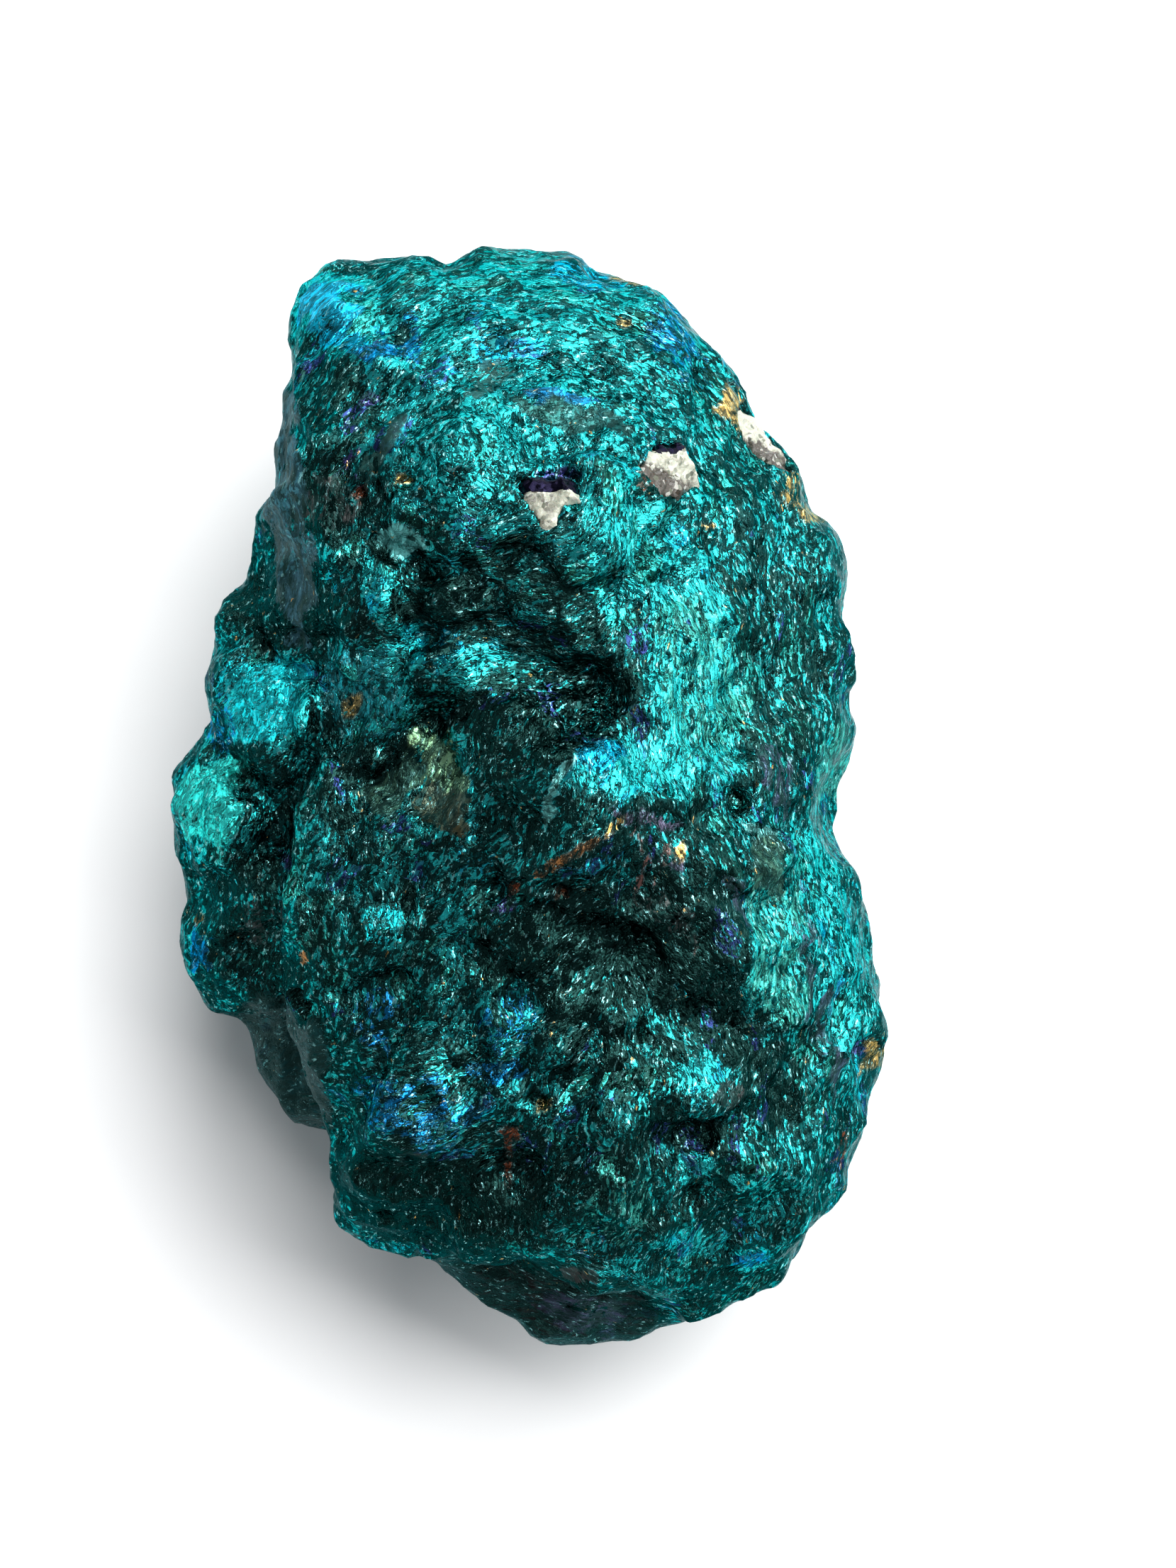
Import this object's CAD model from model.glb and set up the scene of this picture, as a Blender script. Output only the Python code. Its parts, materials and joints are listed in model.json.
"""The looks of a rough lump of tarnished chalcopyrite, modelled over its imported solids.

Lengths in the tables are in millimetres, in the part's own frame: +X to the right of the stone's face,
+Y up the face, +Z out of it. Meshes are in metres.
"""

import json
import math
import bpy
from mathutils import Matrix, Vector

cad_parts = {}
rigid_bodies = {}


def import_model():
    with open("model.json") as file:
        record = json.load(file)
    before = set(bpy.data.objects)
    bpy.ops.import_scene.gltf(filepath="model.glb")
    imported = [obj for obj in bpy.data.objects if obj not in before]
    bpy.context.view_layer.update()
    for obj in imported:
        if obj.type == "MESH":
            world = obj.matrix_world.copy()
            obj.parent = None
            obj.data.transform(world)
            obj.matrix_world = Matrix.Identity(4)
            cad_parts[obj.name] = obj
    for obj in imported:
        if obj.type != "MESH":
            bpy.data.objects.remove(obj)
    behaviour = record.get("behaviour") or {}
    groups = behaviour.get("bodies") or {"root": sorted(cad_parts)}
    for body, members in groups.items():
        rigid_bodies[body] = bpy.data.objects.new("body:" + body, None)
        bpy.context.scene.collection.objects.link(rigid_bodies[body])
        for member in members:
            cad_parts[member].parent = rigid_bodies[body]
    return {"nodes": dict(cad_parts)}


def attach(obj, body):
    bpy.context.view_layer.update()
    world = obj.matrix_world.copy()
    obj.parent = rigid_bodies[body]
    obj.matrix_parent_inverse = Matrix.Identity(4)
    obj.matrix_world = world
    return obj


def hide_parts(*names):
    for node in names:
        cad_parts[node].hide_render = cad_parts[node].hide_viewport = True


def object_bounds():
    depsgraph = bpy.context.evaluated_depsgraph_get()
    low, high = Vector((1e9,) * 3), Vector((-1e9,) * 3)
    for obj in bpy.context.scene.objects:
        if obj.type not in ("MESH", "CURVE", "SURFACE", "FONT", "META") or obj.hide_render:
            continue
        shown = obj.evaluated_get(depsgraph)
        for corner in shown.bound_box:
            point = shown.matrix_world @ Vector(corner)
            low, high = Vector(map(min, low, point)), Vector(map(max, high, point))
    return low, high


bl_info = {
    "name": "Peacock Ore Specimen",
    "version": (1, 0, 0),
    "blender": (4, 5, 0),
    "location": "3D View > Sidebar > Specimen",
    "description": "Models a tarnished lump of chalcopyrite with grains of quartz",
    "category": "Object",
}

import bpy
import numpy as np
from mathutils import Vector, noise
from mathutils.kdtree import KDTree

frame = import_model()
cad_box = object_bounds()

MM = 0.001
SEED = 5
SAME_POINT = 0.000001

# Where growth lines run in rings round the crown: middle of the rings, place and reach of the area, the
# distances from the middle between which the rings fade in, and the radius at which angles become lengths
RING_MIDDLE = (1.7, 12.9, 19)
RING_AREA = (0.3, 19.3, 14.5, 10.5, 0)
RING_INSIDE = (3, 4.6)
RING_RADIUS = 9

# Straight growth lines: place, half length, half width and turn of the area, direction of the lines
LINE_AREAS = {
    "right face": ((9.8, 4.8, 4.2, 9.5, 5), 100),
    "right strip": ((13.1, -7.7, 3.2, 9, 6), 100),
    "swept facet": ((7.7, -7.1, 3.4, 4.4, 15), 118),
    "lower right": ((9.3, -16.7, 4.6, 6, 0), 96),
    "low centre": ((0.3, -8.2, 4.5, 6, 0), 66),
    "lower left": ((-5.7, -15.1, 4.4, 4, 0), 14),
    "foot face": ((-4.7, -20.2, 4.5, 3, -10), 96),
    "wedge": ((0.8, -25.1, 6, 2.6, -14), -20),
    "middle left": ((-7.7, -3.7, 4.2, 7, 0), 74),
    "olive plates": ((-2.9, 1.5, 4, 3.4, 0), 60),
    "hollow": ((-1.7, 9.3, 5, 3.4, 0), 8),
    "left slope": ((-10.2, 14.3, 3.4, 6, 0), 76),
}

# A line has no head or tail, so its direction is kept between this turn and the one half a circle on
LOWEST_TURN = -32

# Creases are longer along the growth lines than across them, as one to this
CREASE_STRETCH = 0.35

# Small pits and lumps: x, y, half length, half width, turn, height
SMALL_FORMS = {
    "pit of the first grain": (1.6, 15.8, 1.2, 0.45, 0, -0.7),
    "crack by the side grain": (5.2, 17.2, 1.1, 0.22, -38, -0.6),
    "notch by the edge grain": (10.2, 21.2, 0.6, 0.3, -30, -0.6),
    "rust pit": (-8, 15, 0.4, 0.35, 0, -0.6),
    "gold pit": (-5.8, 15.5, 0.4, 0.3, 20, -0.5),
    "leaf hollow": (-6.6, 12.3, 1.0, 0.45, -42, -0.5),
    "black pit": (-12.4, -2.3, 0.35, 0.35, 0, -0.8),
    "deep hollow": (-11.1, -9.7, 0.4, 0.8, 10, -1.0),
    "square pit": (10.6, 0.1, 0.6, 0.65, 15, -0.9),
    "small pit": (11.3, 10.3, 0.3, 0.4, 0, -0.6),
    "knob": (12, -2.5, 1.1, 1.4, 20, 0.4),
    "knob bowl": (11.7, -1.9, 0.6, 0.9, 20, -0.5),
    "edge pit": (17.3, -12.7, 0.9, 0.9, 0, -0.7),
    "gold pit low": (0.8, -14.6, 0.6, 0.4, -10, -0.6),
    "foot pit": (10.3, -22.5, 0.4, 0.8, 0, -0.6),
    "lower hollow": (8.4, -16.3, 1.1, 0.7, 0, -0.6),
    "rusty pit": (-0.4, -3.9, 0.45, 0.35, 0, -0.5),
    "second rusty pit": (1.8, -4.3, 0.6, 0.35, 20, -0.5),
}

# How bright the tarnish is: x, y, half length, half width, turn, and -1 for darkest to 1 for brightest
TONES = {
    "crown": (0.3, 21.3, 11, 6, 0, 0.3),
    "crown flakes": (-2.2, 16.8, 3.2, 3, 30, 0.3),
    "crown right": (7.8, 20.3, 4, 4, -50, 0.0),
    "corner": (-9.8, 24.9, 1.8, 2.6, 30, 1),
    "corner right of": (-5.2, 24.9, 3.6, 1.8, 0, 0.2),
    "left slope": (-9.3, 17.1, 2.6, 5, 0, -0.4),
    "shoulder dark": (-10.9, 9.5, 4.6, 1.9, -6, -0.75),
    "leaf": (-6.1, 12.8, 1.1, 0.6, -30, 1),
    "leaf hollow": (-6.9, 12.1, 1.2, 0.5, -42, -0.9),
    "descending ridge": (-6.6, 9.6, 0.55, 2.7, 30, 0.9),
    "dark hollow": (-1.2, 10.2, 4.7, 2.8, -4, -0.3),
    "hollow flank": (3.4, 10.4, 0.7, 2.4, 40, 0.3),
    "black band": (-3.1, 9.5, 3, 1.5, -6, -0.7),
    "hollow right": (3.2, 7.2, 1.7, 4, 35, -0.4),
    "curved lip": (-2.5, 6.6, 1.7, 0.9, 14, 0.7),
    "crescent": (-4.5, 3.6, 2.9, 0.55, 30, -1),
    "crescent end": (-7.3, 2.3, 1.6, 0.9, 50, -0.8),
    "left dark": (-8, 0.5, 2.3, 2, 0, -0.8),
    "olive plate": (-3.9, 1.7, 1.5, 2.1, 8, 0.9),
    "plate under the olive": (-4.1, -0.7, 0.6, 0.7, 0, 0.6),
    "dark centre": (1, 3.9, 3.6, 2.8, 0, -0.5),
    "dark plate": (-1.1, 1.5, 1.4, 1.8, -10, -0.5),
    "right face": (8.4, 6.5, 2.4, 6.6, 6, 0.55),
    "over the right face": (5.2, 12.4, 2.6, 3.2, 40, 0.35),
    "far right": (13.2, 7.1, 2.6, 6.5, 4, -0.15),
    "right waist": (15.7, 0.8, 1.4, 3, 0, 0.2),
    "cyan patch": (4.9, 1.9, 2.9, 1.6, 0, 0.85),
    "under the patch": (4.8, -1.3, 4.4, 1.6, 0, -0.5),
    "swept facet": (7.7, -6.7, 3.2, 4.0, 20, -0.8),
    "low centre": (2.1, -7.5, 4.4, 4, 0, -0.8),
    "centre": (-0.2, -2.7, 3.4, 2.6, 0, -0.25),
    "middle left": (-7.1, -3.3, 3.6, 4.6, 0, -0.2),
    "left middle low": (-8.1, -9.3, 2.4, 3.2, 0, -0.3),
    "right strip": (12.4, -7.3, 1.5, 4.6, 4, 0.45),
    "strip middle": (14.3, -4.3, 1.2, 4, 8, 0.3),
    "strip low": (16, -9.4, 1.6, 5.6, 6, 0.35),
    "dark band": (12.5, -10.8, 1.4, 0.6, 0, -0.7),
    "foot": (6.3, -18.7, 5, 3.6, 0, -0.45),
    "lower patch": (8.8, -13, 1.8, 1.2, -10, 0.6),
    "lower hollow": (8.5, -16.3, 1.6, 1.1, 0, -0.8),
    "foot patch": (8.4, -18, 1, 0.9, 0, 0.75),
    "foot dash": (11, -18.8, 1.1, 0.35, -10, 0.7),
    "crevice": (11.4, -13, 1.5, 3.4, 34, -0.8),
    "blue lower left": (-4.9, -14.8, 3.7, 2, -8, -0.1),
    "round spot": (-6.9, -6.4, 1.2, 0.9, 10, 0.15),
    "star facets": (-0.4, -10.3, 1.7, 1.5, 0, 0.2),
    "foot face": (-5.1, -19.7, 4.6, 2.8, -10, -1),
    "foot middle": (-0.1, -18.7, 2.6, 3, 0, -0.6),
    "wedge": (0.6, -25.1, 6.5, 2.4, -14, -1),
    "bottom right": (10.9, -23.7, 4, 2, 30, -0.4),
    "cyan ridge": (7.8, -21.9, 1.2, 0.7, -10, 0.8),
    "foot facet": (11.3, -22.8, 1.1, 0.7, -10, 0.8),
    "first lobe": (-12.9, 5.1, 2.9, 2.6, -10, 1),
    "second lobe": (-15.9, -0.1, 1.9, 2.4, 0, 1),
    "between lobes": (-13.9, 2, 1.4, 1, 0, -0.4),
    "third lobe": (-14.1, -4.9, 2.2, 2, 20, -0.5),
    "slate plate": (-7.4, 5.4, 2.3, 2.4, 10, 0.5),
    "chunk": (-12.9, -14.1, 3, 5, 0, -0.85),
}

# Places with a colour of their own: x, y, half length, half width, turn, colour, how much of it, how matte
STAINS = {
    "corner blue": (-9.7, 24.5, 1.2, 1.7, 20, "sky", 1, 0.2),
    "corner blue low": (-8.9, 22.9, 1.3, 0.9, -30, "sky", 0.6, 0),
    "blue crest": (-6, 22.5, 1.8, 1.2, 30, "blue", 0.55, 0),
    "blue top": (2.9, 26.5, 1.6, 0.9, -30, "sky", 0.6, 0),
    "blue crown right": (7.7, 22.9, 1.6, 2.2, 40, "blue", 0.4, 0),
    "blue band": (1.7, 19.8, 1.7, 0.35, -6, "blue", 0.9, 0.4),
    "matte band": (2.3, 18.7, 2.6, 0.85, -8, "matte green", 1, 0.35),
    "matte left": (-2.1, 20.5, 1.5, 0.7, 40, "matte green", 0.5, 0.6),
    "matte slope": (-6.5, 17.5, 1.6, 0.45, 64, "matte green", 0.75, 0.8),
    "matte by the slope": (-7.6, 16.3, 0.9, 0.4, 70, "matte green", 0.6, 0.8),
    "left edge": (-11.9, 15.1, 1.4, 7.5, 6, "slate", 0.75, 0.75),
    "slate plate": (-9.4, 14.3, 1.0, 1.7, 12, "brown slate", 0.5, 0.5),
    "low plate": (-7.9, 5.4, 2, 2.4, 8, "slate teal", 0.5, 0.2),
    "violet fleck": (-7.6, 19.6, 0.6, 0.3, 30, "violet", 0.9, 0),
    "violet slope": (-8.3, 16.9, 0.3, 1.3, -10, "violet", 0.5, 0),
    "rust pit": (-8, 15.1, 0.35, 0.4, 0, "rust", 0.9, 0),
    "leaf": (-6.1, 12.8, 1.2, 0.6, -30, "pale teal", 1, 0.6),
    "leaf hollow": (-6.9, 12.0, 1.3, 0.35, -42, "black", 1, 0),
    "crescent": (-4.3, 3.7, 2.9, 0.45, 30, "black", 1, 0),
    "hole": (-6.1, 23, 0.6, 0.5, 20, "black", 0.9, 0),
    "gold pit": (-5.7, 15.6, 0.4, 0.3, 0, "gold", 0.9, 0),
    "grain rim": (1.7, 15.8, 1.3, 0.4, 0, "violet", 0.8, 0),
    "grain brown": (5.9, 15.8, 0.9, 0.5, 30, "rust", 0.5, 0.2),
    "edge gold": (10.7, 19.5, 0.6, 1.4, 28, "gold", 0.75, 0.2),
    "edge gold low": (13.3, 15.5, 0.5, 0.9, 30, "gold", 0.5, 0),
    "edge blue": (10.8, 21.2, 0.35, 0.3, 0, "blue", 1, 0),
    "gold right": (14.4, 14.4, 0.7, 0.35, -20, "gold", 0.8, 0),
    "gold fleck": (9, 13.5, 0.35, 0.25, 0, "gold", 0.9, 0),
    "gold high": (4.8, 23.6, 0.35, 0.25, 0, "gold", 0.9, 0),
    "gold crest": (5.1, 26.3, 0.9, 0.22, -20, "gold", 0.7, 0),
    "olive plate": (-4.1, 1.7, 1.4, 1.6, 10, "khaki", 0.9, 0.2),
    "brown plate": (-3.9, -0.3, 1.4, 0.9, 0, "brown olive", 0.8, 0.45),
    "olive left": (-6.5, 0.9, 1.4, 1.1, 30, "dark olive", 0.7, 0.4),
    "right face": (8.7, 5.9, 2.4, 4.6, 8, "sea green", 0.42, 0.1),
    "right strip": (12.5, -7.1, 1.4, 4.2, 6, "sea green", 0.45, 0.1),
    "waist": (15.7, 1.9, 1.2, 2.2, 0, "sea green", 0.55, 0.2),
    "patch blue end": (3.5, 2.4, 1.3, 0.9, 0, "sky", 0.75, 0),
    "blade": (1.5, 0.4, 0.45, 1.7, -22, "pale teal", 1, 0.5),
    "lilac under the patch": (5.9, -0.7, 1.9, 0.4, -8, "lilac", 0.75, 0.1),
    "copper crest low": (1.3, -3.1, 1.0, 0.28, 25, "copper", 0.95, 0),
    "copper crest middle": (2.8, -2.2, 1.0, 0.25, 40, "copper", 0.9, 0),
    "copper crest high": (4.2, -1.2, 0.7, 0.22, 45, "gold", 0.9, 0),
    "gold streak": (7.8, -2.3, 0.3, 0.8, 0, "gold", 0.8, 0),
    "lilac streak": (7.1, -2.9, 0.9, 0.3, -10, "lilac", 0.8, 0.2),
    "rose streak": (6.9, -3.3, 0.3, 1.6, -14, "rose", 0.62, 0.1),
    "rose streak left": (5.5, -2.7, 0.22, 1.3, 8, "rose", 0.6, 0.1),
    "rose streak low": (7.9, -6.2, 0.22, 1.2, 16, "rose", 0.55, 0.1),
    "rusty pit": (-0.4, -4, 0.45, 0.35, 0, "rust", 0.95, 0),
    "second rusty pit": (1.8, -4.4, 0.5, 0.35, 10, "rust", 0.9, 0),
    "violet pits": (-1, -4.9, 0.7, 0.3, 10, "violet", 0.8, 0),
    "low red brown": (6.7, -5.1, 2.2, 0.7, -30, "brown slate", 0.5, 0.4),
    "purple band": (12.6, 0.9, 0.6, 2.2, 12, "purple slate", 0.55, 0.3),
    "purple band low": (10.2, -4.5, 0.4, 1.4, 20, "purple slate", 0.7, 0.5),
    "purple band foot": (15.1, -11.7, 0.35, 3.4, 4, "purple slate", 0.75, 0.4),
    "purple line": (13.9, -7.7, 0.25, 4.5, 6, "purple slate", 0.6, 0.3),
    "knob": (12, -2.7, 1.0, 1.2, 20, "dark olive", 0.8, 0.3),
    "knob arc": (11.5, -1.2, 1.0, 0.25, -15, "pale teal", 0.8, 0.2),
    "purple patch": (10.1, -14.1, 0.9, 0.5, 20, "brown slate", 0.7, 0.2),
    "blue lower left": (-5.3, -14.9, 3.4, 1.8, -8, "blue", 0.45, 0),
    "blue middle": (-1.5, -13, 1.8, 0.6, -10, "blue", 0.6, 0),
    "blue flakes": (-7.3, -10.7, 1.2, 1.6, 0, "blue", 0.35, 0),
    "star blue": (-0.6, -10.6, 1.5, 1.3, 0, "blue", 0.4, 0),
    "round spot": (-7.1, -6.4, 1.1, 0.8, 10, "cyan", 0.4, 0),
    "gold pit low": (0.8, -14.7, 0.6, 0.4, 0, "gold", 0.85, 0),
    "rust streak": (-0.9, -17.1, 0.5, 1.6, -12, "rust", 0.6, 0.2),
    "rust streak low": (-1.7, -19.3, 0.6, 1.0, 30, "rust", 0.5, 0.3),
    "gold low left": (-6.9, -18.9, 0.4, 0.3, 0, "gold", 0.8, 0),
    "brown low left": (-5.5, -17.4, 0.9, 0.35, 10, "brown slate", 0.7, 0.5),
    "green spot": (-2.6, -20.6, 0.8, 0.8, 0, "dark olive", 0.7, 0.5),
    "foot face": (-4.9, -20, 3.9, 2.4, -10, "black", 0.8, 0),
    "foot teal": (4.7, -19.3, 2.2, 2.2, 0, "sea green", 0.35, 0.2),
    "wedge": (0.4, -25.9, 6.4, 2.5, -14, "dark brown", 1, 0.15),
    "wedge violet": (2.9, -26.1, 2.2, 0.8, -12, "purple slate", 0.6, 0.5),
    "wedge fringe": (2.9, -23.3, 1.2, 0.5, -10, "brown slate", 0.8, 0.6),
    "foot facet": (11.3, -22.9, 0.9, 0.55, 0, "blue", 0.6, 0),
    "edge pit": (17.4, -12.7, 0.8, 0.9, 0, "gold", 0.95, 0),
    "edge pit rim": (16.5, -12.5, 0.3, 0.9, 0, "violet", 0.7, 0),
    "edge rust": (16.3, -17.2, 0.6, 1.2, -20, "rust", 0.3, 0),
    "second lobe": (-15.9, 0, 1.9, 2.3, 0, "spring green", 0.75, 0.18),
    "first lobe": (-13.3, 5, 2.6, 2.2, -10, "cyan", 0.7, 0.18),
    "lobe blue": (-15.5, 3.7, 0.8, 1.4, 0, "blue", 0.4, 0),
    "violet pit": (-12, -2.9, 0.5, 0.4, 0, "violet", 0.9, 0),
    "gold plate": (-8.4, 4.7, 0.5, 0.3, 30, "gold", 0.7, 0),
    "gold left": (-16.7, -5.9, 0.35, 0.35, 0, "gold", 0.8, 0),
    "blue left": (-16.9, -7.5, 0.6, 1.0, 0, "blue", 0.8, 0),
    "gold brown": (-10.7, -7.5, 0.35, 0.5, 0, "copper", 0.8, 0),
    "third lobe": (-13.1, -5.9, 1.8, 1.4, 20, "brown slate", 0.35, 0.4),
    "chunk": (-12.7, -14.3, 3, 4.6, 0, "dark teal", 0.7, 0.7),
}

# Grains of quartz: how stained each is, and how far up from its middle the pit's dark tarnish begins
GRAINS = {
    "quartz_grain_middle": (0.35, 0.35),
    "quartz_grain_right": (1.2, 0.9),
    "quartz_crust_edge": (1.2, 1.6),
}

# Scooped chips of the stone: their size, then their depth and unevenness, both in chip depths
CHIPS = ((2.4, 1.6, 1.5), (1.0, 0.7, 0.6))

# Scooped chips of the quartz: their size, depth and unevenness
QUARTZ_CHIPS = (0.8, 0.14, 0.25)

# How many facets, flakes, lines and crinkles the tarnish has to a millimetre: along the growth lines, across
# them and into the stone
FACETS = (0.5, 1.0, 0.8)
FLAKES = (2.9, 5.6, 4.2)
LINES = (0.7, 2.8, 1.7)
CRINKLES = (1.8, 5.5, 3.6)
CRINKLE_HEIGHT = 0.07

# How far the growth lines wander, and how many directions they can take in half a turn
WANDER = 0.55
DIRECTIONS = 8

# The middle of a random colour
HALF = (0.5, 0.5, 0.5)

# The stage, in metres: the camera looks straight down from over this place, and its lens sets the framing.
# A lamp has an azimuth and an elevation in degrees, and a width.
FLOOR_WIDTH = 4
CAMERA_X = 0.0031
CAMERA_Y = 0.00095
LENS = 103.7
LAMP_DISTANCE = 0.5
LAMPS = {"key": (62, 50, 0.5), "side": (2, 34, 0.3)}
AIR = (0.9, 0.95, 1.0)
AIR_STRENGTH = 0.3

# Tarnish colours, as the share of red, green and blue light that the metal gives back
COLOURS = {
    "cyan": (0.015, 0.85, 0.95),
    "blue": (0.01, 0.24, 0.6),
    "sky": (0.01, 0.55, 0.9),
    "violet": (0.07, 0.04, 0.22),
    "lilac": (0.2, 0.17, 0.28),
    "gold": (0.72, 0.45, 0.12),
    "copper": (0.6, 0.24, 0.07),
    "rust": (0.3, 0.06, 0.015),
    "rose": (0.34, 0.15, 0.13),
    "sea green": (0.06, 0.46, 0.38),
    "spring green": (0.05, 0.95, 0.85),
    "pale teal": (0.22, 0.75, 0.72),
    "khaki": (0.2, 0.34, 0.17),
    "brown olive": (0.1, 0.08, 0.035),
    "dark olive": (0.05, 0.12, 0.08),
    "matte green": (0.02, 0.062, 0.055),
    "slate": (0.04, 0.12, 0.17),
    "slate teal": (0.02, 0.3, 0.36),
    "brown slate": (0.06, 0.05, 0.05),
    "purple slate": (0.07, 0.07, 0.14),
    "dark brown": (0.02, 0.009, 0.01),
    "dark teal": (0.006, 0.05, 0.055),
    "black": (0.003, 0.01, 0.008),
}

# Tint of the tarnish where it is seen at a slant
SLANT_TINT = (0.3, 0.52, 0.54)

# Colours on the quartz: pale specks, specks of ore dust and the tarnish of the pit's edge
PALE_SPECK = (0.4, 0.41, 0.37)
DUST_SPECK = (0.09, 0.1, 0.07)
PIT_TARNISH = (0.009, 0.008, 0.02)


class SpecimenStone(bpy.types.PropertyGroup):
    mesh_step: bpy.props.FloatProperty(
        name="Mesh Step", description="Spacing of the surface mesh", default=0.00028, subtype="DISTANCE"
    )
    line_height: bpy.props.FloatProperty(
        name="Line Height", description="Height of the growth lines", default=0.00005, subtype="DISTANCE"
    )
    chip_depth: bpy.props.FloatProperty(
        name="Chip Depth", description="Depth of the small scooped chips", default=0.0001, subtype="DISTANCE"
    )
    bright: bpy.props.FloatVectorProperty(
        name="Bright Tarnish", description="Thinnest, brightest tarnish",
        default=(0.025, 0.52, 0.53), subtype="COLOR", size=3, min=0, max=1,
    )
    middle: bpy.props.FloatVectorProperty(
        name="Middle Tarnish", description="Most of the surface",
        default=(0.005, 0.08, 0.085), subtype="COLOR", size=3, min=0, max=1,
    )
    dark: bpy.props.FloatVectorProperty(
        name="Dark Tarnish", description="Thickest, darkest tarnish",
        default=(0.008, 0.03, 0.027), subtype="COLOR", size=3, min=0, max=1,
    )
    blue: bpy.props.FloatVectorProperty(
        name="Blue Tarnish", description="Bright tarnish that has gone blue",
        default=(0.01, 0.36, 0.58), subtype="COLOR", size=3, min=0, max=1,
    )
    green: bpy.props.FloatVectorProperty(
        name="Green Tarnish", description="Bright tarnish that has gone green",
        default=(0.05, 0.45, 0.34), subtype="COLOR", size=3, min=0, max=1,
    )
    dull_green: bpy.props.FloatVectorProperty(
        name="Dull Green Tarnish", description="Dull tarnish that has gone green",
        default=(0.009, 0.065, 0.045), subtype="COLOR", size=3, min=0, max=1,
    )
    violet: bpy.props.FloatVectorProperty(
        name="Violet Tarnish", description="Flakes that have gone indigo",
        default=(0.03, 0.03, 0.2), subtype="COLOR", size=3, min=0, max=1,
    )
    sparkle: bpy.props.FloatVectorProperty(
        name="Sparkle", description="Small bright glints",
        default=(0.4, 0.95, 0.95), subtype="COLOR", size=3, min=0, max=1,
    )
    gold: bpy.props.FloatVectorProperty(
        name="Gold Fleck", description="Clean ore that shows through",
        default=(0.7, 0.42, 0.12), subtype="COLOR", size=3, min=0, max=1,
    )
    roughness: bpy.props.FloatProperty(
        name="Roughness", description="Roughness of the clean flakes", default=0.22, min=0, max=1
    )


class SpecimenQuartz(bpy.types.PropertyGroup):
    mesh_step: bpy.props.FloatProperty(
        name="Mesh Step", description="Spacing of the grains' mesh", default=0.00009, subtype="DISTANCE"
    )
    swelling: bpy.props.FloatProperty(
        name="Swelling", description="How far a grain fills its pocket", default=0.0001, subtype="DISTANCE"
    )
    clean: bpy.props.FloatVectorProperty(
        name="Clean Quartz", description="Milky quartz",
        default=(0.36, 0.37, 0.3), subtype="COLOR", size=3, min=0, max=1,
    )
    stained: bpy.props.FloatVectorProperty(
        name="Stained Quartz", description="Quartz with ore dust on it",
        default=(0.035, 0.03, 0.022), subtype="COLOR", size=3, min=0, max=1,
    )


class SpecimenStage(bpy.types.PropertyGroup):
    camera_height: bpy.props.FloatProperty(
        name="Camera Height", description="Height of the camera over the floor",
        default=0.243, subtype="DISTANCE",
    )
    floor: bpy.props.FloatVectorProperty(
        name="Floor", description="Pale floor",
        default=(0.86, 0.86, 0.86), subtype="COLOR", size=3, min=0, max=1,
    )
    key: bpy.props.FloatProperty(
        name="Key Light", description="Power of the main light", default=6.4, unit="POWER"
    )
    side: bpy.props.FloatProperty(
        name="Side Light", description="Power of the side light", default=1.6, unit="POWER"
    )


def step(low, high, value):
    """0 at low and 1 at high, smooth between and level beyond. Low may be the larger of the two."""
    share = np.clip((value - low) / (high - low), 0, 1)
    return share * share * (3 - 2 * share)


def oval(x, y, area):
    """0 at the middle of a turned oval and 1 on its edge."""
    spot_x, spot_y, half_length, half_width, turn = area
    cos, sin = math.cos(math.radians(turn)), math.sin(math.radians(turn))
    along = (x - spot_x) * cos + (y - spot_y) * sin
    across = (y - spot_y) * cos - (x - spot_x) * sin
    return np.hypot(along / half_length, across / half_width)


def blotch(places, wander, area, edge):
    """1 inside an oval and 0 outside it. Its outline wanders, and less so on a narrow oval."""
    away = oval(*(places[:, :2].T + wander * min(1, area[3])), area)
    return step(1.15, edge, away)


def noise_at(places, size, offset):
    """Smooth noise from -1 to 1 at each place, with bumps of this size. The offset picks which noise."""
    return np.array([noise.noise(place) for place in (places / size + offset).tolist()])


def points_of(mesh):
    found = np.empty(len(mesh.vertices) * 3)
    mesh.vertices.foreach_get("co", found)
    return found.reshape(-1, 3)


def normals_of(mesh):
    found = np.empty(len(mesh.vertices) * 3)
    mesh.vertex_normals.foreach_get("vector", found)
    return found.reshape(-1, 3)


def set_points(mesh, places):
    mesh.vertices.foreach_set("co", places.astype(np.float32).ravel())
    mesh.update()


def keep_value(mesh, name, values):
    made = mesh.attributes.new(name, "FLOAT", "POINT")
    made.data.foreach_set("value", values.astype(np.float32))


def keep_vector(mesh, name, vectors):
    made = mesh.attributes.new(name, "FLOAT_VECTOR", "POINT")
    made.data.foreach_set("vector", vectors.astype(np.float32).ravel())


def keep_colour(mesh, name, colours):
    filled = np.column_stack([colours, np.ones(len(colours))]).astype(np.float32)
    made = mesh.attributes.new(name, "FLOAT_COLOR", "POINT")
    made.data.foreach_set("color", filled.ravel())


def merged_copy(node_name, name):
    """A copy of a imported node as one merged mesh, which stands alone."""
    bpy.ops.object.select_all(action="DESELECT")
    node = frame["nodes"][node_name]
    node.select_set(True)
    bpy.context.view_layer.objects.active = node
    bpy.ops.object.duplicate()
    made = bpy.context.view_layer.objects.active
    bpy.ops.object.parent_clear(type="CLEAR_KEEP_TRANSFORM")
    bpy.ops.object.transform_apply(location=True, rotation=True, scale=True)
    made.name = made.data.name = name
    made.data.materials.clear()
    bpy.ops.object.mode_set(mode="EDIT")
    bpy.ops.mesh.select_all(action="SELECT")
    bpy.ops.mesh.remove_doubles(threshold=SAME_POINT)
    bpy.ops.object.mode_set(mode="OBJECT")
    return made


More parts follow.
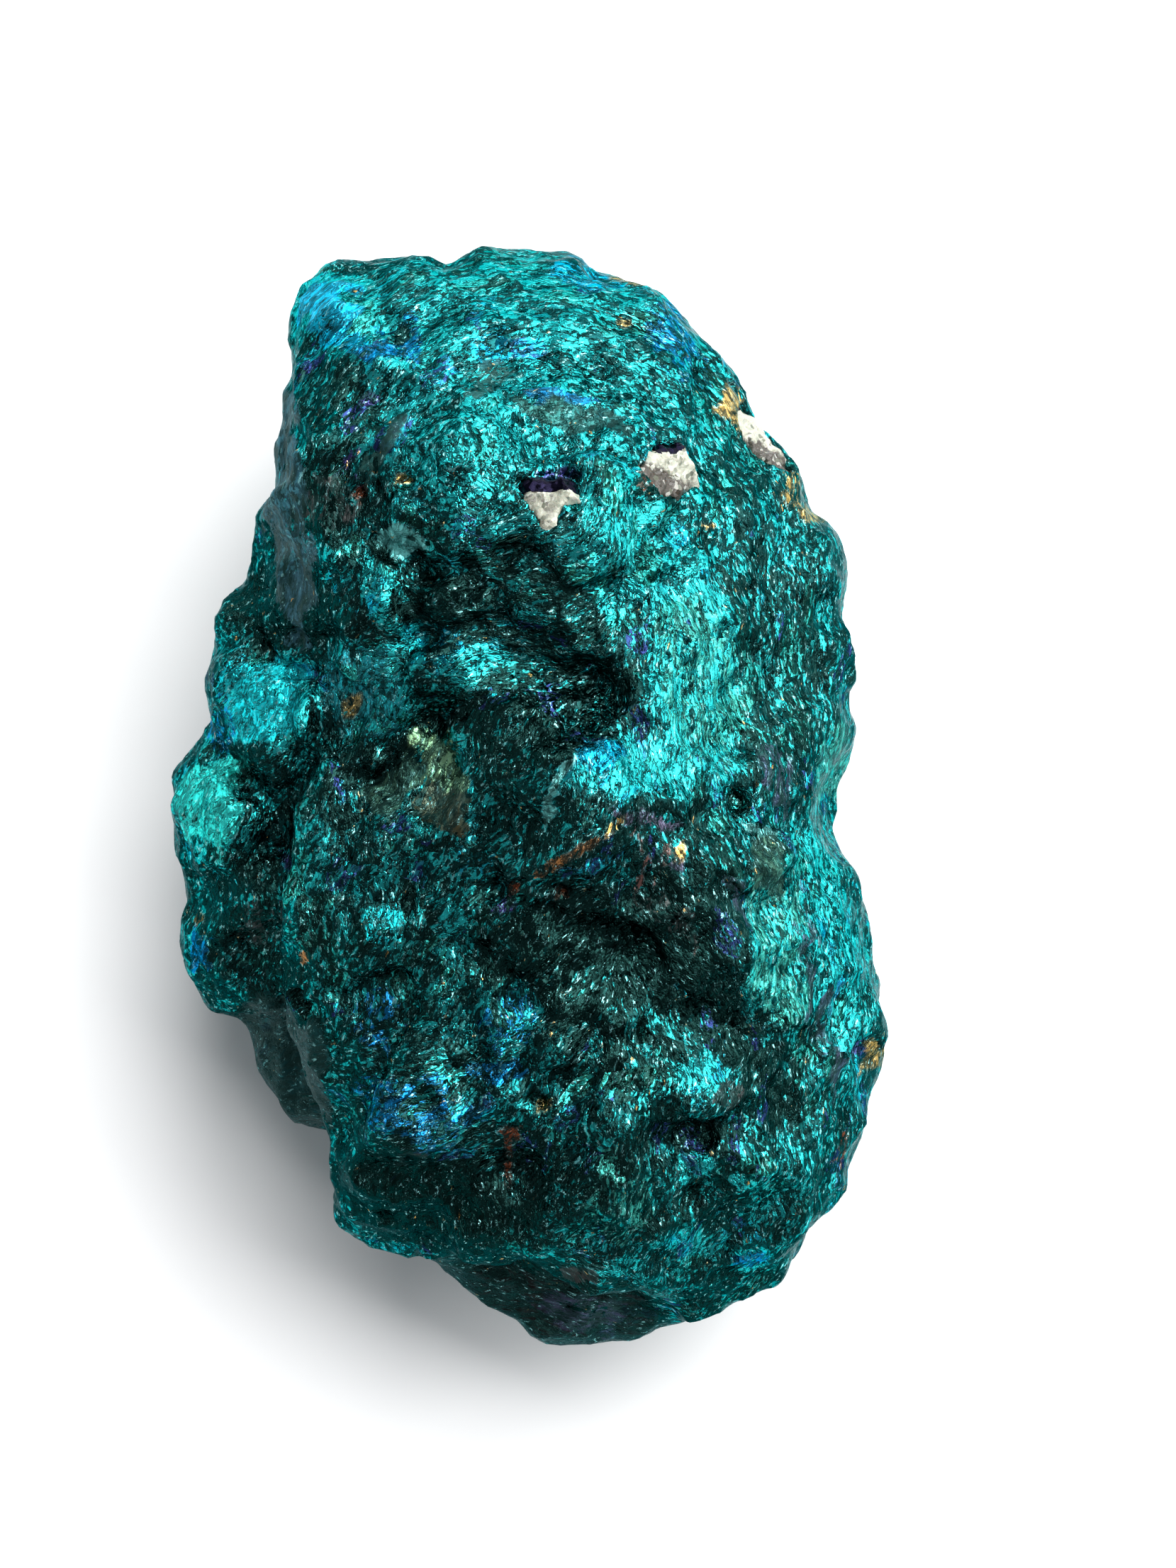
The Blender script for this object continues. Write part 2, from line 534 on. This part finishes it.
def finish_modifier(made, kind, **settings):
    """Adds a modifier with these settings and applies it."""
    modifier = made.modifiers.new(kind.lower(), kind)
    for name, value in settings.items():
        setattr(modifier, name, value)
    bpy.ops.object.modifier_apply(modifier=modifier.name)


def finished(piece, node_name, look):
    """Shades a piece smooth, dresses it and lets it stand for its node."""
    bpy.ops.object.shade_smooth()
    piece.data.materials.append(look)
    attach(piece, "root")
    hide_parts(node_name)


def scoops(places, size, depth, uneven, rng):
    """Scooped chips with sharp rims between them: how far each place moves."""
    low, high = places.min(axis=0) - size, places.max(axis=0) + size
    seeds = rng.uniform(low, high, (int(np.prod((high - low) / size)), 3))
    heights = rng.uniform(0, uneven, len(seeds))
    tree = KDTree(len(seeds))
    for number, seed in enumerate(seeds):
        tree.insert(seed, number)
    tree.balance()
    bend = 4 * depth / size**2
    return np.array([
        min(heights[number] + bend * gap**2 for _, number, gap in tree.find_n(place, 3)) - depth / 2
        for place in places
    ])


def line_share(x, y, area):
    """How much an area of straight growth lines counts at each place."""
    return np.exp(-1.5 * oval(x, y, area) ** 2)


def crinkle(lines):
    """Sharp creases along the lines, from -1 in a crease to 1 on the foil between."""
    return 1 - 4 * np.abs(noise_at(lines, 0.9, 3.1)) + 0.5 * noise_at(lines, 0.45, 9.2)


def growth_lines(places):
    """Coordinates along and across the growth lines, in rings round the crown and straight elsewhere."""
    x, y, z = places.T
    off_x, off_y, off_z = x - RING_MIDDLE[0], y - RING_MIDDLE[1], z - RING_MIDDLE[2]
    radius = np.sqrt(off_x**2 + off_y**2 + 0.6 * off_z**2)
    rings = np.column_stack([np.arctan2(off_x, off_y) * RING_RADIUS, radius, z])
    ring_share = step(1.1, 0.8, oval(x, y, RING_AREA)) * step(*RING_INSIDE, np.hypot(off_x, off_y))
    cos, sin = np.full(len(x), -0.02), np.full(len(x), 0.04)
    for area, turn in LINE_AREAS.values():
        share = line_share(x, y, area)
        cos = cos + share * math.cos(math.radians(2 * turn))
        sin = sin + share * math.sin(math.radians(2 * turn))
    direction = np.arctan2(sin, cos) / 2
    return rings, ring_share, np.where(direction < math.radians(LOWEST_TURN), direction + math.pi, direction)


def shape_surface(mesh, settings):
    """Adds growth lines, small chips, pits and lumps to the smoothed stone."""
    places = points_of(mesh) / MM
    normals = normals_of(mesh)
    x, y, z = places.T
    rng = np.random.default_rng(SEED)
    front = step(-0.15, 0.3, normals[:, 2])
    rings, ring_share, _ = growth_lines(places)
    shown = 0.35 + 0.65 * step(0, 0.5, normals[:, 2])
    rings[:, 0] = rings[:, 0] * CREASE_STRETCH
    relief = ring_share * crinkle(rings)
    left = 1 - ring_share
    for area, turn in LINE_AREAS.values():
        share = left * line_share(x, y, area)
        near = share > 0.02
        cos, sin = math.cos(math.radians(turn)), math.sin(math.radians(turn))
        lines = np.column_stack([CREASE_STRETCH * (x * cos + y * sin), y * cos - x * sin, z])
        relief[near] = relief[near] + share[near] * crinkle(lines[near])
    moved = relief * settings.line_height / MM
    chip = settings.chip_depth / MM
    for size, depth, uneven in CHIPS:
        moved = moved + scoops(places, size, depth * chip, uneven * chip, rng)
    moved = (moved - moved.mean()) * shown
    moved = moved + 0.05 * noise_at(places, 0.55, 4.4)
    bent_x = x + 0.35 * noise_at(places, 0.8, 11.3)
    bent_y = y + 0.35 * noise_at(places, 0.8, 17.9)
    for *area, height in SMALL_FORMS.values():
        away = oval(bent_x, bent_y, area)
        moved = moved + front * height * np.sqrt(np.clip(1 - away**2, 0, 1))
    places = places + normals * moved[:, None]
    low, high = (np.array(corner) / MM for corner in cad_box)
    set_points(mesh, np.clip(places, low, high) * MM)


def colour_surface(mesh):
    """Keeps what the tarnish needs to know at each place of the stone."""
    places = points_of(mesh) / MM
    normals = normals_of(mesh)
    front = step(-0.2, 0.25, normals[:, 2])
    rings, ring_share, direction = growth_lines(places)
    wander = np.array([
        1.1 * noise_at(places, 1.6, broad) + 0.25 * noise_at(places, 0.5, fine)
        for broad, fine in ((21.3, 5.3), (27.9, 8.9))
    ])
    tone = 0.25 * noise_at(places, 5.5, 31.7) + 0.15 * noise_at(places, 2.2, 37.1) - 0.2
    for *area, amount in TONES.values():
        share = front * blotch(places, wander, area, 0.8)
        tone = tone * (1 - 0.75 * share) + amount * share
    stain = np.tile(COLOURS["cyan"], (len(places), 1))
    stain_amount = np.zeros(len(places))
    matte = np.zeros(len(places))
    for *area, colour, much, dull in STAINS.values():
        inside = front * blotch(places, wander, area, 0.85)
        stain = stain + (np.array(COLOURS[colour]) - stain) * (inside > 0)[:, None]
        stain_amount = stain_amount + (much - stain_amount) * inside
        matte = matte + (dull - matte) * inside
    keep_value(mesh, "tone", np.clip(tone, -1, 1))
    keep_colour(mesh, "stain", stain)
    keep_value(mesh, "stain_amount", stain_amount)
    keep_value(mesh, "matte", matte)
    keep_value(mesh, "ring_share", ring_share)
    keep_vector(mesh, "rings", rings)
    keep_value(mesh, "direction", direction)


class Value:
    """The output of a shader node. Sums and products of values add Math nodes."""

    def __init__(self, look, socket):
        self.look = look
        self.socket = socket

    def __add__(self, other):
        return self.look.maths("ADD", self, other)

    def __radd__(self, other):
        return self.look.maths("ADD", other, self)

    def __sub__(self, other):
        return self.look.maths("SUBTRACT", self, other)

    def __rsub__(self, other):
        return self.look.maths("SUBTRACT", other, self)

    def __mul__(self, other):
        return self.look.maths("MULTIPLY", self, other)

    def __gt__(self, other):
        return self.look.maths("GREATER_THAN", self, other)

    def between(self, low, high):
        """0 below low and 1 above high, smooth between."""
        return self.look.node(
            "ShaderNodeMapRange", {"interpolation_type": "SMOOTHSTEP"}, {0: self, 1: low, 2: high}
        )


class Look:
    """One material and the nodes that feed its shader."""

    def __init__(self, name):
        self.material = bpy.data.materials.new(name)
        self.material.use_nodes = True
        self.tree = self.material.node_tree
        self.shader = self.tree.nodes["Principled BSDF"]
        self.place = self.node("ShaderNodeTexCoord", output="Object")

    def maths(self, operation, first, second=0.0):
        return self.node("ShaderNodeMath", {"operation": operation}, {0: first, 1: second})

    def join(self, socket, value):
        """Links a value to a socket, or sets the number, vector or colour that the socket holds."""
        if isinstance(value, Value):
            self.tree.links.new(value.socket, socket)
        elif hasattr(socket.default_value, "__len__"):
            length = len(socket.default_value)
            socket.default_value = (*value, 1.0)[:length] if hasattr(value, "__len__") else (value,) * length
        else:
            socket.default_value = value

    def node(self, kind, settings=None, sockets=None, output=0):
        made = self.tree.nodes.new(kind)
        for name, value in (settings or {}).items():
            setattr(made, name, value)
        for name, value in (sockets or {}).items():
            self.join(made.inputs[name], value)
        return Value(self, made.outputs[output])

    def attribute(self, name, output="Fac"):
        return self.node("ShaderNodeAttribute", {"attribute_name": name}, output=output)

    def vector(self, operation, first, second=(0, 0, 0)):
        return self.node("ShaderNodeVectorMath", {"operation": operation}, {0: first, 1: second})

    def scaled(self, vector, factor):
        return self.node("ShaderNodeVectorMath", {"operation": "SCALE"}, {0: vector, "Scale": factor})

    def mix(self, share, first, second):
        """The first colour where the share is 0 and the second where it is 1."""
        settings = {"data_type": "RGBA", "clamp_factor": True}
        return self.node("ShaderNodeMix", settings, {0: share, 6: first, 7: second}, 2)

    def noise(self, vector, scale, detail=2.0, roughness=0.5, output="Fac"):
        sockets = {"Vector": vector, "Scale": scale, "Detail": detail, "Roughness": roughness}
        return self.node("ShaderNodeTexNoise", None, sockets, output)

    def parts(self, vector):
        """The x, y and z of a vector."""
        split = self.node("ShaderNodeSeparateXYZ", None, {0: vector})
        return split, Value(self, split.socket.node.outputs[1]), Value(self, split.socket.node.outputs[2])

    def joined(self, x, y, z):
        return self.node("ShaderNodeCombineXYZ", None, {0: x, 1: y, 2: z})

    def cells(self, vector, scale):
        """Random colours of scattered cells, and the distance from the middle of each."""
        colour = self.node("ShaderNodeTexVoronoi", None, {"Vector": vector, "Scale": scale}, "Color")
        return colour, Value(self, colour.socket.node.outputs["Distance"])

    def bump(self, height, distance, normal, strength=1.0):
        sockets = {"Height": height, "Distance": distance, "Strength": strength, "Normal": normal}
        return self.node("ShaderNodeBump", None, sockets)

    def feed(self, **values):
        """Joins values to the shader's inputs of these names."""
        for name, value in values.items():
            self.join(self.shader.inputs[name.replace("_", " ")], value)


def tarnish(settings):
    """Foil-like metallic tarnish, crinkled along the growth lines."""
    look = Look("tarnish")
    place = look.scaled(look.place, 1 / MM)
    wander = look.vector("SUBTRACT", look.noise(place, 0.8, 2, output="Color"), HALF)
    bent = look.vector("ADD", place, look.scaled(wander, WANDER))
    tone = look.attribute("tone")

    # Coordinates along and across the growth lines, whose direction changes by steps from facet to facet
    x, y, z = look.parts(bent)
    patch_x, patch_y, _ = look.parts(look.cells(place, 0.45)[0])
    turn = look.attribute("direction") + (patch_x - 0.5) * 0.7
    turn = look.maths("ROUND", turn * (DIRECTIONS / math.pi)) * (math.pi / DIRECTIONS)
    cos, sin = look.maths("COSINE", turn), look.maths("SINE", turn)
    straight = look.joined(x * cos + y * sin, y * cos - x * sin + z * 0.3, z)
    rings = look.vector("ADD", look.attribute("rings", "Vector"), look.scaled(wander, WANDER))
    in_rings = (look.attribute("ring_share") + (patch_y - 0.5) * 0.4) > 0.5
    along = look.mix(in_rings, straight, rings)

    # Broken facets, the flakes on them and the finest crinkles, each longer along the growth lines
    facet, _ = look.cells(look.vector("MULTIPLY", along, FACETS), 1)
    facet_x, facet_y, facet_z = look.parts(facet)
    jagged = look.vector("SUBTRACT", look.noise(place, 3.5, 2, output="Color"), HALF)
    jagged = look.vector("ADD", look.vector("MULTIPLY", along, FLAKES), look.scaled(jagged, 1.4))
    flake, from_middle = look.cells(jagged, 1)
    flake_x, flake_y, flake_z = look.parts(flake)
    lines = look.noise(look.vector("MULTIPLY", along, LINES), 1, 3, 0.65)
    crinkle = look.noise(look.vector("MULTIPLY", along, CRINKLES), 1, 5, 0.72)
    crease = look.maths("ABSOLUTE", lines - 0.5).between(0, 0.05)
    glint = crinkle.between(0.57, 0.63)

    # Stains end at the edges of flakes
    stained = look.attribute("stain_amount") + (facet_z - 0.5) * 0.35 + (flake_y - 0.5) * 0.4
    stained = (stained + (crinkle - 0.5) * 1.5).between(0.36, 0.48)
    matte = look.attribute("matte") * stained
    calm = 1 - matte * 0.7
    normal = look.node("ShaderNodeNewGeometry", output="Normal")
    for colour, lean in ((facet, 0.3), (flake, 0.55)):
        normal = look.vector("ADD", normal, look.scaled(look.vector("SUBTRACT", colour, HALF), calm * lean))
    normal = look.vector("NORMALIZE", normal)
    height = crinkle * 0.6 + crease * 0.5 - from_middle * 0.6
    normal = look.bump(height, CRINKLE_HEIGHT * MM, normal, calm)

    # How much of the surface shines: nearly all on the bright places and hardly any on the dark ones
    density = tone * 0.55 + 0.5 + (facet_y - 0.5) * 0.35 + (lines - 0.5) * 0.75
    shines = (density + (crinkle - 0.5) * 1.6 - flake_x * 0.9 - 0.1).between(-0.1, 0.12)
    drift = look.noise(place, 0.2, 3, 0.6)
    bluish = ((drift - 0.5) * 2 + (facet_z - 0.5) * 1.1 + (flake_y - 0.5) * 0.3).between(0.38, 0.9)
    greenish = ((0.5 - drift) * 2 + (facet_x - 0.5) * 1.1).between(0.15, 0.75)
    bright = look.mix(bluish, settings.bright, settings.blue)
    bright = look.mix(greenish * 0.6, bright, settings.green)
    dull = look.mix(greenish, settings.middle, settings.dull_green)
    dull = look.mix(density.between(0.1, 0.9), settings.dark, dull)
    low_light = look.mix(0.7, bright, settings.dark)
    colour = look.mix(shines, dull, look.mix(density.between(-0.1, 0.8), low_light, bright))
    violet = (facet_z > 0.95) * (flake_z > 0.5)
    colour = look.mix(violet * 0.5, colour, settings.violet)
    streak = (lines - 0.5) * 3 + shines * 0.4 + 0.3
    stain = look.mix(streak, settings.dark, look.attribute("stain", "Color"))
    colour = look.mix(stained * 0.9, colour, stain)
    pale = glint * (flake_z > 0.5) * calm
    colour = look.mix(pale * 0.65, colour, settings.sparkle)
    gold = (flake_x > 0.985) * glint
    colour = look.mix(gold, colour, settings.gold)
    gaps = (1 - crease) * 0.8 + from_middle.between(0.45, 0.85) * 0.3
    colour = look.mix(gaps * calm, colour, settings.dark)
    roughness = settings.roughness + matte * 0.3 + (flake_z - 0.5) * 0.12
    look.feed(Base_Color=colour, Roughness=roughness, Normal=normal, Metallic=1 - matte * 0.5)
    look.feed(Specular_Tint=SLANT_TINT)
    return look.material


def milky_quartz(settings):
    """Milky quartz with pale specks, ore dust and tarnish on the edge of its pit."""
    look = Look("quartz")
    place = look.scaled(look.place, 1 / MM)
    cloud = look.noise(place, 1.1, 4, 0.6)
    speck, _ = look.cells(place, 5)
    speck_x, speck_y, _ = look.parts(speck)
    stained = look.attribute("stained")
    share = (cloud - 0.45) * 1.6 + stained + (speck_x - 0.5) * 0.5
    colour = look.mix(share.between(0.1, 0.8), settings.clean, settings.stained)
    colour = look.mix((speck_y > 0.9) * 0.6, colour, PALE_SPECK)
    colour = look.mix((speck_x > 0.95) * 0.8, colour, DUST_SPECK)
    tarnished = (look.attribute("shaded") + (speck_y - 0.5) * 0.5) > 0.5
    colour = look.mix(tarnished, colour, PIT_TARNISH)
    tilt = look.scaled(look.vector("SUBTRACT", speck, HALF), 0.7)
    normal = look.vector("ADD", look.node("ShaderNodeNewGeometry", output="Normal"), tilt)
    normal = look.vector("NORMALIZE", normal)
    normal = look.bump(look.noise(place, 7, 3, 0.6), 0.06 * MM, normal, 0.7)
    look.feed(Base_Color=colour, Roughness=0.35 + (speck_x - 0.5) * 0.3, Metallic=tarnished, Normal=normal)
    look.feed(Subsurface_Weight=0.15, Subsurface_Scale=0.4 * MM)
    return look.material


def paint(name, colour, roughness):
    """One plain colour."""
    look = Look(name)
    look.feed(Base_Color=colour, Roughness=roughness)
    return look.material


class SPECIMEN_OT_stone(bpy.types.Operator):
    """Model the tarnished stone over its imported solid"""

    bl_idname = "specimen.stone"
    bl_label = "Tarnished Stone"

    def execute(self, context):
        settings = context.scene.specimen_stone
        stone = merged_copy("chalcopyrite", "tarnished_stone")
        finish_modifier(stone, "REMESH", mode="VOXEL", voxel_size=settings.mesh_step)
        finish_modifier(stone, "SMOOTH", factor=0.5, iterations=2)
        shape_surface(stone.data, settings)
        colour_surface(stone.data)
        finished(stone, "chalcopyrite", tarnish(settings))
        return {"FINISHED"}


class SPECIMEN_OT_quartz(bpy.types.Operator):
    """Model the grains of quartz that fill the pockets"""

    bl_idname = "specimen.quartz"
    bl_label = "Quartz Grains"

    def execute(self, context):
        settings = context.scene.specimen_quartz
        look = milky_quartz(settings)
        rng = np.random.default_rng(SEED)
        for node_name, (dust, pit_edge) in GRAINS.items():
            grain = merged_copy(node_name, node_name + "_milky")
            finish_modifier(grain, "REMESH", mode="VOXEL", voxel_size=settings.mesh_step)
            finish_modifier(grain, "SMOOTH", factor=0.5, iterations=6)
            places = points_of(grain.data) / MM
            normals = normals_of(grain.data)
            moved = settings.swelling / MM + scoops(places, *QUARTZ_CHIPS, rng)
            moved = moved + 0.1 * noise_at(places, 0.7, 3.3) + 0.06 * noise_at(places, 0.25, 6.1)
            set_points(grain.data, (places + normals * moved[:, None]) * MM)
            across = places[:, :2] - places[:, :2].mean(axis=0)
            stained = step(0.6, -0.3, across[:, 1] + 0.5 * across[:, 0]) * dust
            keep_value(grain.data, "stained", stained)
            keep_value(grain.data, "shaded", step(0, 0.25, across[:, 1] - pit_edge))
            finished(grain, node_name, look)
        return {"FINISHED"}


class SPECIMEN_OT_stage(bpy.types.Operator):
    """Set the floor, the soft lights and the camera"""

    bl_idname = "specimen.stage"
    bl_label = "Studio Stage"

    def execute(self, context):
        settings = context.scene.specimen_stage
        bpy.ops.object.select_all(action="DESELECT")
        bpy.ops.mesh.primitive_plane_add(size=FLOOR_WIDTH)
        floor = context.view_layer.objects.active
        floor.name = "floor"
        floor.data.materials.append(paint("floor", settings.floor, 0.9))
        world = bpy.data.worlds.new("studio")
        context.scene.world = world
        world.use_nodes = True
        world.node_tree.nodes["Background"].inputs["Color"].default_value = (*AIR, 1)
        world.node_tree.nodes["Background"].inputs["Strength"].default_value = AIR_STRENGTH
        for name, (azimuth, elevation, width) in LAMPS.items():
            bpy.ops.object.light_add(type="AREA")
            lamp = context.view_layer.objects.active
            lamp.name = name
            lamp.data.energy = getattr(settings, name)
            lamp.data.size = width
            flat, up = math.radians(azimuth), math.radians(elevation)
            away = Vector((math.cos(flat) * math.cos(up), math.sin(flat) * math.cos(up), math.sin(up)))
            lamp.location = away * LAMP_DISTANCE
            lamp.rotation_euler = away.to_track_quat("Z", "Y").to_euler()
        bpy.ops.object.camera_add(location=(CAMERA_X, CAMERA_Y, settings.camera_height), rotation=(0, 0, 0))
        camera = context.view_layer.objects.active
        camera.data.lens = LENS
        camera.data.clip_start = 0.01
        context.scene.camera = camera
        context.scene.view_settings.view_transform = "Standard"
        return {"FINISHED"}


class SPECIMEN_PT_panel(bpy.types.Panel):
    """The specimen's pieces, in the order in which they are made"""

    bl_idname = "SPECIMEN_PT_panel"
    bl_label = "Peacock Ore Specimen"
    bl_space_type = "VIEW_3D"
    bl_region_type = "UI"
    bl_category = "Specimen"

    def draw(self, context):
        for operator in OPERATORS:
            self.layout.operator(operator.bl_idname)


OPERATORS = (SPECIMEN_OT_stone, SPECIMEN_OT_quartz, SPECIMEN_OT_stage)
GROUPS = {
    "specimen_stone": SpecimenStone,
    "specimen_quartz": SpecimenQuartz,
    "specimen_stage": SpecimenStage,
}
CLASSES = (*GROUPS.values(), *OPERATORS, SPECIMEN_PT_panel)


def register():
    for made in CLASSES:
        bpy.utils.register_class(made)
    for name, group in GROUPS.items():
        setattr(bpy.types.Scene, name, bpy.props.PointerProperty(type=group))


def unregister():
    for name in GROUPS:
        delattr(bpy.types.Scene, name)
    for made in reversed(CLASSES):
        bpy.utils.unregister_class(made)


def main():
    register()
    bpy.ops.specimen.stone()
    bpy.ops.specimen.quartz()
    bpy.ops.specimen.stage()


if __name__ == "__main__":
    main()
